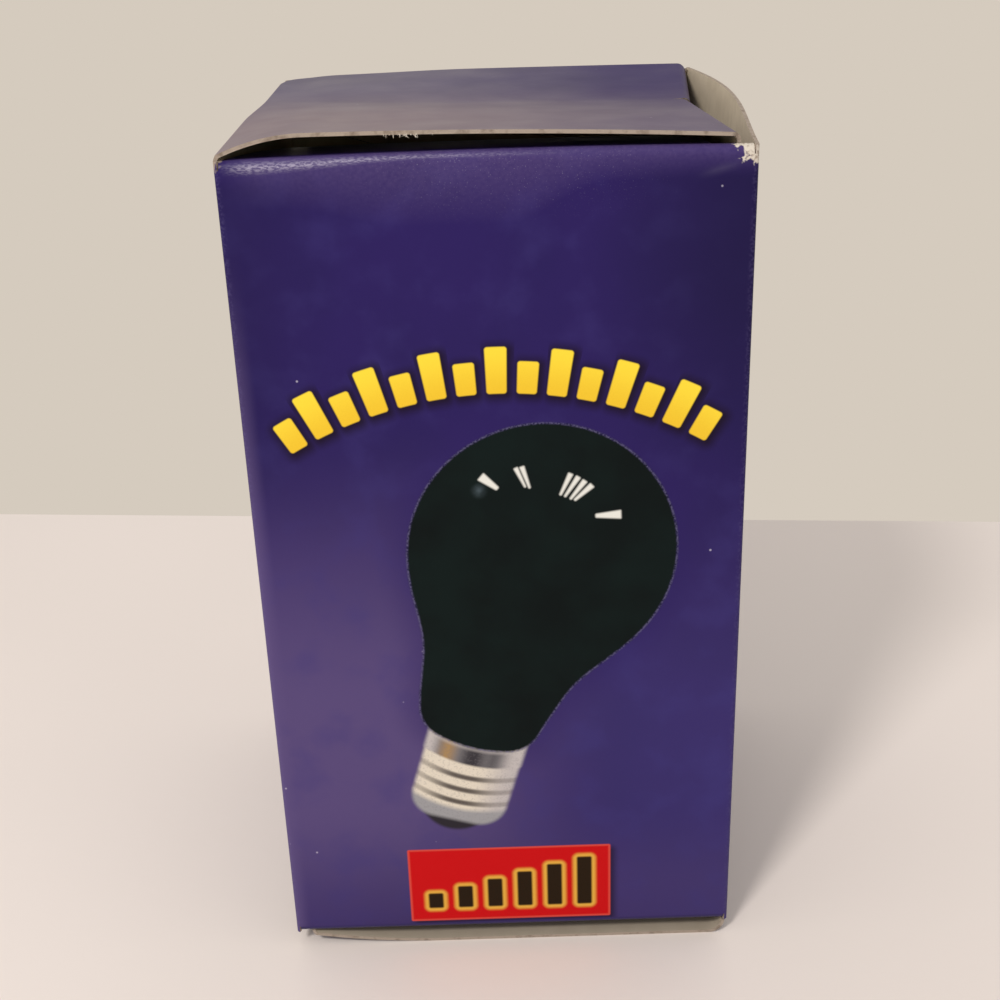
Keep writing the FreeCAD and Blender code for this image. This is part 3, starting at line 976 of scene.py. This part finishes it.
# Strokes of light on the globe: place, lean in degrees, and half sizes.
GLINTS = (
    (-1.0, 71.65, -50.0, 0.42, 1.35),
    (2.9, 72.2, -23.5, 0.2, 1.45),
    (3.55, 72.2, -17.5, 0.22, 1.55),
    (8.45, 71.1, 25.0, 0.23, 1.6),
    (9.2, 70.75, 33.0, 0.23, 1.6),
    (9.95, 70.3, 37.0, 0.24, 1.55),
    (10.65, 69.9, 48.0, 0.26, 1.5),
    (13.75, 66.75, 88.0, 0.42, 1.6),
)
GLINT_FLARE = 0.4
GLINT_ROUND = 0.15
GLINT_SOFT = 0.18
FAINT_X = -2.3
FAINT_Z = 70.6
FAINT_FIELD = (0.5, 0.8, 0.8)

# Its screw base, measured along and across the bulb.
BASE_SHIFT = 0.95
BASE_MIDDLE = 33.5
BASE_HALF = 6.55
BASE_LENGTH = 9.0
BASE_ROUND = 3.6
BASE_SOFT = 0.42
RING_SAG = 0.03
RIDGE_START = 33.4
RIDGE_PITCH = 2.04
FIRST_GROOVE = (-0.6, 0.1, 1.0)
LAST_RIDGE = (-3.55, 0.25, 1.0)
GROOVE_LEVELS = (-0.3, 1.0)
GROOVE_SHIFT = 0.3
GROOVE_REACH = (6.0, 1.0)
GROOVE_DEPTH = (0.4, 0.95)
SHEEN_SHIFT = 2.0
SHEEN_REACH = (3.0, 8.0)
MOTTLE_SHARE = 0.3
TIP_SHIFT = 0.2
TIP_ALONG = 39.0
TIP_FIELD = (5.1, 0.35, 1.0)
COLLAR_FLARE = 0.15
COLLAR_SOFT = 0.25
COLLAR_EDGE = (0.35, 0.3, 0.5)

# Reflections on the base's collar: place across it, soft field and colour.
COLLAR_BANDS = (
    (-3.5, (0.7, 1.3, 0.9), METAL_WARM),
    (0.1, (1.4, 1.2, 0.9), METAL_DARK),
    (2.8, (0.7, 0.9, 0.5), METAL_DARK),
)

# The arc of rays: its centre, its inner radius, the rays' lengths and the angle between them.
RAY_X = 0.3
RAY_Z = 34.0
RAY_START = 49.3
RAY_LONG = 5.9
RAY_SHORT = 4.1
RAY_PITCH = 4.2
RAY_FILL = 0.66
RAY_COUNT = 15
RAY_ROUND = 0.35
RAY_SHADOW = 0.25
RAY_HALO = (0.55, 1.0, 0.92)
INK_SOFT = 0.12

# The red panel, and the bars on it.
PANEL_X = -0.1
PANEL_Z = 10.1
PANEL_HALF = (14.15, 6.2)
PANEL_ROUND = 0.25
PANEL_RIM = (0.28, 0.16, 0.7)
SHADOW_RIGHT = 0.55
SHADOW_DOWN = 0.5
SHADOW_ROUND = 0.6
SHADOW_FIELD = (0.0, 0.9, 0.85)
BAR_START = -10.6
BAR_PITCH = 4.2
BAR_COUNT = 6
BAR_FOOT = 6.1
BAR_LOW = 2.6
BAR_GAIN = 1.12
BAR_HALF = 1.05
BAR_ROUND = 0.3
BAR_RIM = 0.55
BAR_RIM_SOFT = 0.35
BAR_SOFT = 0.2


def glass_shape(across, along):
    """The bulb's glass: a globe that narrows into a neck."""
    globe = length(across, along * BULB_STRETCH) - BULB_RADIUS
    belly = (-along + BELLY_END).most(0.0)
    half = along * -NECK_SPREAD + (NECK_HALF + NECK_SPREAD * NECK_END) - belly * belly * BELLY_CURVE
    middle = (along * NECK_SHIFT).least(NECK_SHIFT_END) + across
    neck = (middle.size() - half).most(-along - NECK_START)
    end = (across + BASE_SHIFT) * (across + BASE_SHIFT) * RING_SAG + along - NECK_END
    return cut(merge(globe, neck, NECK_FILLET), end, NECK_ROUND)


def print_bulb(surface, colour):
    """A black bulb with a silver screw base, lying at a slant."""
    across, up = turned(surface.x - BULB_X, surface.z - BULB_Z, BULB_TILT)
    along = -up
    glass = glass_shape(across, along)
    colour = surface.mix(around(glass, *GLASS_HALO), colour, VIOLET)
    colour = print_base(surface, colour, across + BASE_SHIFT, along)
    black = surface.mix(surface.patches(*GLASS_CLOUD), GLASS_DEEP, GLASS)
    rough = surface.noise(*GLASS_GRAIN).between(*GLASS_ROUGH)
    colour = surface.mix(covered(glass + rough, GLASS_SOFT), colour, black)
    rim = around((glass + RIM_INSET).size(), *RIM_FIELD) * surface.patches(*RIM_BREAKS)
    colour = surface.mix(rim, colour, GLASS_RIM)
    return print_glints(surface, colour)


def print_glints(surface, colour):
    """White strokes of light round the globe's upper part, and a faint patch."""
    faint = around(length(surface.x - FAINT_X, surface.z - FAINT_Z), *FAINT_FIELD)
    colour = surface.mix(faint * surface.noise(*GLINT_GRAIN), colour, GLINT_FAINT)
    strokes = None
    for x, z, lean, wide, tall in GLINTS:
        side, up = turned(surface.x - x, surface.z - z, lean)
        stroke = bar(side, up, up * (wide * GLINT_FLARE / tall) + wide, tall, GLINT_ROUND)
        strokes = stroke if strokes is None else strokes.least(stroke)
    return surface.mix(covered(strokes, GLINT_SOFT), colour, GLINT)


def print_base(surface, colour, across, along):
    """The screw base: a smooth collar, four ridges, a rounded end and a dark tip."""
    sag = across * across * RING_SAG + along
    collar = covered(sag - RIDGE_START, COLLAR_SOFT)
    wide = collar * COLLAR_FLARE + BASE_HALF
    body = bar(across, along - BASE_MIDDLE, wide, BASE_LENGTH, BASE_ROUND)
    tip = around(length(across + TIP_SHIFT, along - TIP_ALONG), *TIP_FIELD)
    turns = (sag - RIDGE_START) / RIDGE_PITCH
    groove = (turns * (2.0 * math.pi)).math("COSINE").ramp(*GROOVE_LEVELS)
    groove = groove * around(-turns, *FIRST_GROOVE)
    depth = (across + GROOVE_SHIFT).size().ramp(*GROOVE_REACH).between(*GROOVE_DEPTH)
    metal = surface.mix((across + SHEEN_SHIFT).size().ramp(*SHEEN_REACH), METAL, METAL_PALE)
    metal = surface.mix(groove * depth, metal, METAL_SHADE)
    metal = surface.mix(around(-turns, *LAST_RIDGE), metal, METAL_COOL)
    metal = surface.mix(collar, metal, print_collar(surface, across, sag))
    metal = surface.mix(surface.patches(*METAL_MOTTLE) * MOTTLE_SHARE, metal, METAL_GREY)
    colour = surface.mix(tip, colour, METAL_DARK)
    return surface.mix(covered(body, BASE_SOFT), colour, metal)


def print_collar(surface, across, sag):
    """The smooth ring above the ridges: grey, with a few reflections and a pale upper edge."""
    ring = surface.mix(across.ramp(3.2, 5.8), METAL_GREY, METAL_PALE)
    ring = surface.mix(across.ramp(-4.2, -6.2), ring, METAL_PALE)
    for middle, field, reflection in COLLAR_BANDS:
        ring = surface.mix(around((across - middle).size(), *field), ring, reflection)
    return surface.mix(around(sag - NECK_END, *COLLAR_EDGE), ring, METAL_PALE)


def ray_shape(surface, shift):
    """An arc of rays, long and short in turn, and the distance from its centre."""
    u, v = surface.x - (RAY_X + shift), surface.z - (RAY_Z - shift)
    reach = length(u, v)
    pitch = math.radians(RAY_PITCH)
    limit = (RAY_COUNT - 1) / 2
    turn = u.math("ARCTAN2", v) / pitch
    index = turn.math("ROUND").least(limit).most(-limit)
    side = (turn - index) * reach * pitch
    odd = index.size().math("MODULO", 2.0)
    half = odd.between(RAY_LONG, RAY_SHORT) / 2.0
    wide = reach * (pitch * RAY_FILL / 2.0)
    return bar(side, reach - RAY_START - half, wide, half, RAY_ROUND), reach


def print_rays(surface, colour):
    """Yellow rays with a dark soft shadow."""
    shadow, _ = ray_shape(surface, RAY_SHADOW)
    colour = surface.mix(around(shadow, *RAY_HALO), colour, HALO)
    rays, reach = ray_shape(surface, 0.0)
    yellow = surface.mix(reach.ramp(RAY_START, RAY_START + RAY_LONG), YELLOW_DEEP, YELLOW)
    return surface.mix(covered(rays, INK_SOFT), colour, yellow)


def print_panel(surface, colour):
    """A red panel with a soft shadow, and a row of rising dark bars with gold edges on it."""
    u, v = surface.x - PANEL_X, surface.z - PANEL_Z
    shadow = bar(u - SHADOW_RIGHT, v + SHADOW_DOWN, *PANEL_HALF, SHADOW_ROUND)
    colour = surface.mix(around(shadow, *SHADOW_FIELD), colour, HALO)
    panel = bar(u, v, *PANEL_HALF, PANEL_ROUND)
    red = surface.mix(around(-panel, *PANEL_RIM), RED, RED_EDGE)
    colour = surface.mix(covered(panel, INK_SOFT), colour, red)
    index = ((surface.x - BAR_START) / BAR_PITCH).math("ROUND").most(0.0).least(BAR_COUNT - 1.0)
    half = (index * BAR_GAIN + BAR_LOW) / 2.0
    side = surface.x - BAR_START - index * BAR_PITCH
    bars = bar(side, surface.z - BAR_FOOT - half, BAR_HALF, half, BAR_ROUND)
    colour = surface.mix(covered(bars - BAR_RIM, BAR_RIM_SOFT), colour, GOLD)
    return surface.mix(covered(bars, BAR_SOFT), colour, MARK)


# Strengths of the uneven ink and of the painted reflection, sheen, highlight and shade. A tint comes
# in between two places along x, y or z.
REFLECTION_RISE_SHARE = (0.4, 1.0)
REFLECTION_LOW_SHARE = (0.14, 0.88)
REFLECTION_FOOT_SHARE = (0.26, -0.12)
BLUE_SHARE = (0.4, 0.16)
BLUE_MOTTLE_SHARE = 0.3
SHEEN_RUB_REACH = (8.0, 3.5)
SHEEN_RUB_LEFT_LOSS = 2.5
SHEEN_RUB_SHARE = (0.2, 0.8)
EDGE_HIGHLIGHT_SHARE = 0.75
SHADE_LEFT_SHARE = 0.6
PAINTED_SHADE_SHARE = 0.85
DUST_REFLECTION_SHARE = (0.65, 0.2)
DUST_REFLECTION_UNEVEN = (0.8, 1.2)
DULL_SHARE = (0.5, 1.0)


def tint_front(surface, colour):
    """Painted reflection low on the left, painted sheen with real rubbing under the top fold, a
    painted highlight down the left edge, a bluer tint low on the right with blue mottles, and painted
    shade in the upper corners.
    """
    x, z = surface.x, surface.z
    left, foot = x.ramp(17.0, -15.0), z.ramp(24.0, 8.0)
    # Painted reflection of the bright floor: the ink is made paler low down and at the foot, most on
    # the left.
    low = z.ramp(82.0, 38.0) * z.ramp(-4.0, 26.0).between(*REFLECTION_RISE_SHARE)
    pale = low * left.between(*REFLECTION_LOW_SHARE) + foot * left.between(*REFLECTION_FOOT_SHARE)
    colour = surface.mix(pale, colour, VIOLET_PAINTED_SHEEN_AND_RUB)
    blue = z.ramp(66.0, 32.0) * x.ramp(-4.0, 20.0) * foot.between(*BLUE_SHARE)
    mottle = surface.patches(*INK_MOTTLE) * BLUE_MOTTLE_SHARE
    colour = surface.mix(blue + mottle, colour, VIOLET_BLUE)
    # Painted sheen of the rounded top fold, mixed with real rubbing, in a grainy band just under the
    # fold.
    reach = x.ramp(2.0, 14.0).between(*SHEEN_RUB_REACH) - x.ramp(-9.0, -24.0) * SHEEN_RUB_LEFT_LOSS
    rubbed = ((z - WALL_TOP) / reach + 1.0).most(0.0) * x.ramp(-31.0, -25.0)
    grain = surface.noise(*SHEEN_RUB_GRAIN).between(*SHEEN_RUB_SHARE)
    colour = surface.mix(rubbed * grain, colour, VIOLET_PAINTED_SHEEN_AND_RUB)
    # Painted highlight down the left edge, where the rounded corner catches the light.
    colour = surface.mix(x.ramp(-28.4, -30.6) * z.ramp(104.0, 84.0) * EDGE_HIGHLIGHT_SHARE, colour, VIOLET_PAINTED_SHEEN_AND_RUB)
    # Painted shade: darker ink in the two upper corners, most on the right.
    corners = x.ramp(8.0, 30.0).most(x.ramp(-17.0, -31.0) * SHADE_LEFT_SHARE)
    painted_shade = corners * z.ramp(58.0, 98.0) * z.ramp(112.0, 108.0)
    return surface.mix(painted_shade * PAINTED_SHADE_SHARE, colour, VIOLET_PAINTED_SHADE)


def tint_lid(surface, colour):
    """Dust and a painted reflection of the pale wall on the top lid's front half, and a varnish that
    shines least at the back right.
    """
    right, back = surface.x.ramp(-16.0, 27.0), surface.y.ramp(-18.0, 20.0)
    dull = (right * back.between(*DULL_SHARE)).between(1.0, 0.0)
    surface.set("Specular IOR Level", (dull * dull).between(*LID_SHINE))
    # Dust and painted reflection: a greyish tint over the front half, strongest at the left.
    dust_and_reflection = back.between(1.0, 0.0) * right.between(*DUST_REFLECTION_SHARE)
    uneven = surface.noise(*DUST_REFLECTION_GRAIN).between(*DUST_REFLECTION_UNEVEN)
    return surface.mix(dust_and_reflection * uneven, colour, LID_DUST_AND_REFLECTION)


# Wear: the folds and specks of all print, then the front wall's top fold with its painted highlight,
# the painted highlight line of the dent, and the corners.
FOLD_RUB = (0.5, 0.5, 0.35)
SPECK_GAIN = -0.09
SPECK_FIELD = (-0.045, 0.02, 0.55)
SPECK_CHANCE = (0.84, 0.88)
GLOW_Z = 111.85
GLOW_DROP = 0.7
GLOW_HALF = 0.1
GLOW_SOFT = (0.4, 0.95)
GLOW_SHARE = (0.2, 0.95)
SCRATCH_STRETCH = (0.32, 1.0, 1.0)
SCRATCH_LEVELS = (0.4, 0.6)
DOTS_SHARE = 0.22
DENT_HIGHLIGHT_X = 26.5
DENT_HIGHLIGHT_Z = 102.6
DENT_HIGHLIGHT_SLOPE = 0.26
DENT_HIGHLIGHT_LINE = (0.05, 0.9, 0.07)
DENT_HIGHLIGHT_REACH = (1.6, 1.6, 1.0)
TORN_X = 31.0
TORN_STRETCH = 0.8
TORN_RAGGED = 3.4
TORN_FIELD = (3.7, 0.22, 1.0)
WORN_X = -30.8
WORN_RAGGED = 2.2
WORN_FIELD = (1.9, 0.3, 1.0)
CARD_FIBRE_SHARE = 0.15
LOW_DARK_HEIGHT = (4.0, 1.0)
LOW_DARK_SHARE = 0.6


def wear_print(surface, colour):
    """Rubbed folds and dust on the printed side."""
    to_x = (surface.x.size() - HALF).size()
    to_y = (surface.y.size() - HALF).size()
    rubbed = around(to_x.most(to_y), *FOLD_RUB) * surface.patches(*FOLD_BREAKS)
    colour = surface.mix(rubbed, colour, VIOLET_WORN)
    distance, chance = surface.cells(SPECK_GRAIN)
    specks = around(distance + chance * SPECK_GAIN, *SPECK_FIELD) * chance.ramp(*SPECK_CHANCE)
    return surface.mix(specks, colour, SCUFF_AND_HIGHLIGHT)


def wear_fold(surface, colour):
    """The front wall's top fold: a painted highlight with real scuffing along it, fine scratches on it
    and dots below it.
    """
    x, z = surface.x, surface.z
    left = x.ramp(-7.0, -29.0)
    # Painted highlight on the fold's rounding, broken up into scuffs.
    fold = z + left * GLOW_DROP - GLOW_Z
    highlight_and_scuff = covered(fold.size() - left * GLOW_HALF, left.between(*GLOW_SOFT))
    highlight_and_scuff = highlight_and_scuff * x.ramp(14.0, -20.0) * x.ramp(-30.5, -26.5)
    fine = surface.noise(*SCRATCH_GRAIN, SCRATCH_STRETCH).ramp(*SCRATCH_LEVELS)
    colour = surface.mix(highlight_and_scuff * fine.between(*GLOW_SHARE), colour, SCUFF_AND_HIGHLIGHT)
    dots = surface.patches(*FOLD_DOTS) * z.ramp(103.0, 111.0)
    dots = dots * x.ramp(-20.0, -4.0) * x.ramp(26.0, 8.0)
    return surface.mix(dots * DOTS_SHARE, colour, SCUFF_AND_HIGHLIGHT)


def wear_corners(surface, colour):
    """The front wall's two upper corners, torn and worn, and a painted highlight line for the dent
    beside the torn one.
    """
    x, z = surface.x, surface.z
    # Painted highlight: a pale line where a dent in the card would catch the light.
    line = around((z - x * DENT_HIGHLIGHT_SLOPE - DENT_HIGHLIGHT_Z).size(), *DENT_HIGHLIGHT_LINE)
    colour = surface.mix(line * around((x - DENT_HIGHLIGHT_X).size(), *DENT_HIGHLIGHT_REACH), colour, SCUFF_AND_HIGHLIGHT)
    ragged = surface.noise(*TORN_GRAIN)
    torn = length((x - TORN_X) * TORN_STRETCH, z - WALL_TOP) + ragged * TORN_RAGGED
    pulp = surface.mix(surface.patches(*PULP_MOTTLE), FIBRE, RAW)
    colour = surface.mix(around(torn, *TORN_FIELD), colour, pulp)
    worn = length(x - WORN_X, z - WALL_TOP) + ragged * WORN_RAGGED
    return surface.mix(around(worn, *WORN_FIELD), colour, RAW)


FRONT_LAYERS = (tint_front, print_bulb, print_rays, print_panel, wear_print, wear_fold, wear_corners)


def printed_card(name, shine, layers):
    """Varnished card in violet ink, with layers of print, wear, and painted reflection, sheen,
    highlight and shade over it.
    """
    surface = Surface(name)
    surface.set("IOR", VARNISH_IOR)
    surface.set("Specular IOR Level", shine)
    colour = surface.mix(surface.patches(*INK_CLOUD), VIOLET_DEEP, VIOLET)
    for layer in layers:
        colour = layer(surface, colour)
    rough = surface.noise(*VARNISH_GRAIN).between(*VARNISH_ROUGH)
    return surface.finish(colour, rough, *PRINT_RELIEF)


def inner_card():
    """The unprinted side: recycled board with short fibres, darker near the floor."""
    surface = Surface("inner_card")
    colour = surface.mix(surface.patches(*CARD_CLOUD), CARD, CARD_DARK)
    colour = surface.mix(surface.patches(*CARD_FIBRES) * CARD_FIBRE_SHARE, colour, RAW_DARK)
    # Darker towards the floor.
    colour = surface.mix(surface.z.ramp(*LOW_DARK_HEIGHT) * LOW_DARK_SHARE, colour, CARD_LOW_DARK)
    return surface.finish(colour, CARD_ROUGH, *CARD_RELIEF)


def mottled(name, mottle, pale, dark, rough, relief):
    """A surface of two colours: cut or torn card, or the floor."""
    surface = Surface(name)
    colour = surface.mix(surface.patches(*mottle), pale, dark)
    return surface.finish(colour, rough, *relief)


# The stage, the light and the camera.

CAMERA_PLACE = (0.8, -195.4, 143.8)
CAMERA_YAW = math.radians(-0.18)
CAMERA_TILT = math.radians(90.0 - 24.33)
CAMERA_ROLL = math.radians(1.89)
CAMERA_LENS = 52.42
CAMERA_NEAREST = 10.0
SENSOR = 36.0
FLOOR_HALF = 700.0
FLOOR_END = 112.4
FLOOR_SLANT = 0.093
FLOOR_COLOUR = srgb(234, 222, 214)
FLOOR_SHADE = srgb(229, 217, 209)
FLOOR_ROUGH = 0.6
WALL_COLOUR = srgb(213, 203, 190)
AMBIENT_COLOUR = (1.0, 0.99, 0.98, 1.0)
AMBIENT = 0.72
KEY_PLACE = (-255.0, -475.0, 580.0)
KEY_TARGET = (0.0, 0.0, 50.0)
KEY_SIZE = 130.0
KEY_ENERGY = 3.1
KEY_COLOUR = (1.0, 0.985, 0.96)


def add_camera():
    data = bpy.data.cameras.new("camera")
    data.sensor_fit = "HORIZONTAL"
    data.sensor_width = SENSOR
    data.lens = CAMERA_LENS
    data.clip_start = CAMERA_NEAREST * MM
    camera = add_object("camera", data)
    turn = Matrix.Rotation(-CAMERA_YAW, 4, "Z") @ Matrix.Rotation(CAMERA_TILT, 4, "X")
    turn = turn @ Matrix.Rotation(-CAMERA_ROLL, 4, "Z")
    camera.matrix_world = Matrix.Translation(Vector(CAMERA_PLACE) * MM) @ turn
    bpy.context.scene.camera = camera


def add_floor():
    """A pale floor whose far edge lies where the photograph's wall begins."""
    slant = FLOOR_HALF * FLOOR_SLANT
    corners = (
        (-FLOOR_HALF, -FLOOR_HALF, 0.0),
        (FLOOR_HALF, -FLOOR_HALF, 0.0),
        (FLOOR_HALF, FLOOR_END - slant, 0.0),
        (-FLOOR_HALF, FLOOR_END + slant, 0.0),
    )
    mesh = bpy.data.meshes.new("floor")
    mesh.from_pydata([[value * MM for value in corner] for corner in corners], [], [(0, 1, 2, 3)])
    paint = mottled("floor_paint", FLOOR_CLOUD, FLOOR_COLOUR, FLOOR_SHADE, FLOOR_ROUGH, FLOOR_RELIEF)
    mesh.materials.append(paint)
    floor = add_object("floor", mesh)


def add_key_lamp():
    data = bpy.data.lights.new("key", "AREA")
    data.shape = "DISK"
    data.size = KEY_SIZE * MM
    data.energy = KEY_ENERGY
    data.color = KEY_COLOUR
    lamp = add_object("key", data)
    turn = (Vector(KEY_TARGET) - Vector(KEY_PLACE)).to_track_quat("-Z", "Y")
    lamp.matrix_world = Matrix.Translation(Vector(KEY_PLACE) * MM) @ turn.to_matrix().to_4x4()


def add_world():
    """Soft light from all round. The camera and the varnish see it as a pale wall."""
    world = bpy.data.worlds.new("studio")
    world.use_nodes = True
    tree = world.node_tree
    wall = tree.nodes["Background"]
    wall.inputs["Color"].default_value = WALL_COLOUR
    inputs = {"Color": AMBIENT_COLOUR, "Strength": AMBIENT}
    ambient = node_field(tree, "ShaderNodeBackground", 0, inputs)
    seen = node_field(tree, "ShaderNodeLightPath", "Is Camera Ray", {})
    for ray in ("Is Glossy Ray", "Is Transmission Ray"):
        seen = seen.most(node_field(tree, "ShaderNodeLightPath", ray, {}))
    inputs = {"Fac": seen, 1: ambient, 2: Field(tree, wall.outputs[0])}
    mixed = node_field(tree, "ShaderNodeMixShader", 0, inputs)
    feed(tree, tree.nodes["World Output"].inputs["Surface"], mixed)
    bpy.context.scene.world = world


def main():
    printed = printed_card("printed_card", PLAIN_SHINE, [wear_print])
    lid = printed_card("lid_print", FULL_SHINE, [tint_lid, wear_print])
    front = printed_card("front_print", FRONT_SHINE, FRONT_LAYERS)
    inner = inner_card()
    edge = mottled("raw_edge", EDGE_MOTTLE, RAW, RAW_DARK, EDGE_ROUGH, EDGE_RELIEF)
    fibre = mottled("torn_fibre", FIBRE_MOTTLE, FIBRE, RAW, EDGE_ROUGH, FIBRE_RELIEF)
    materials = [printed, front, inner, edge]
    make_walls(materials)
    make_top_lid([lid, front, inner, edge])
    make_bottom_lid(materials)
    make_hinges(materials)
    make_torn_corner(fibre)
    make_lid_fibres(fibre)
    add_floor()
    add_key_lamp()
    add_world()
    add_camera()
    bpy.context.scene.view_settings.view_transform = "Standard"


main()
